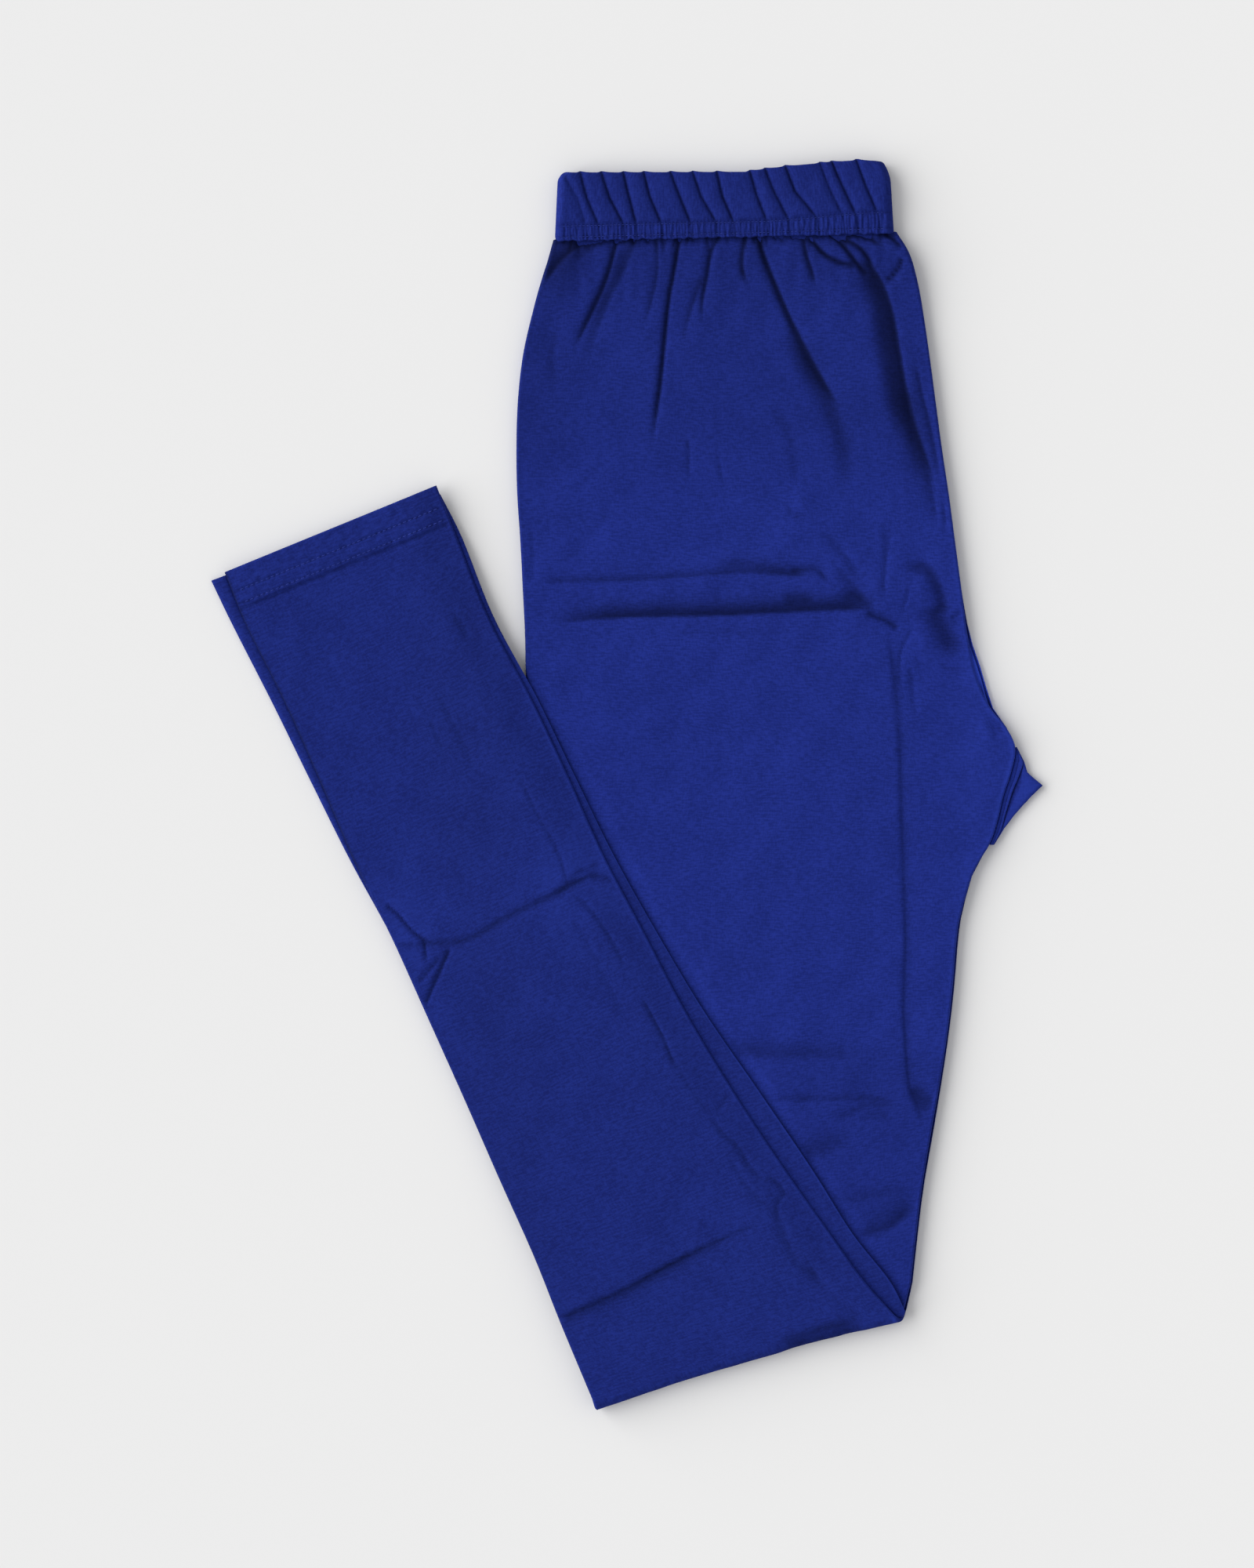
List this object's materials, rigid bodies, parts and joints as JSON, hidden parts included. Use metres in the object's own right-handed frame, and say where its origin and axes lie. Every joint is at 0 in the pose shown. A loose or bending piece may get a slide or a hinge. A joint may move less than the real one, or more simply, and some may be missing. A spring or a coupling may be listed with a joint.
{
  "type": "churidar pants",
  "caption": "Pull-on churidar leggings in plain jersey with a gathered elastic waistband, folded leg on leg and then folded up at the knee into a flat bundle.",
  "frame": {"origin": "centre of the folded garment in plan, on the surface it lies on", "axes": "+Z up from that surface, +Y towards the waistband, +X towards the crotch; in the picture +X is right and +Y is up"},
  "size_m": [0.424, 0.6366, 0.0109],
  "materials": {
    "waistband_jersey": "gathered cotton and viscose jersey over elastic",
    "leg_jersey": "plain cotton and viscose jersey with a fine cross slub"
  },
  "bodies": {
    "root": {"waistband": "waistband_jersey", "left_leg": "leg_jersey", "right_leg": "leg_jersey", "crotch_gusset": "leg_jersey", "inner_layers": "leg_jersey"}
  },
  "joints": []
}
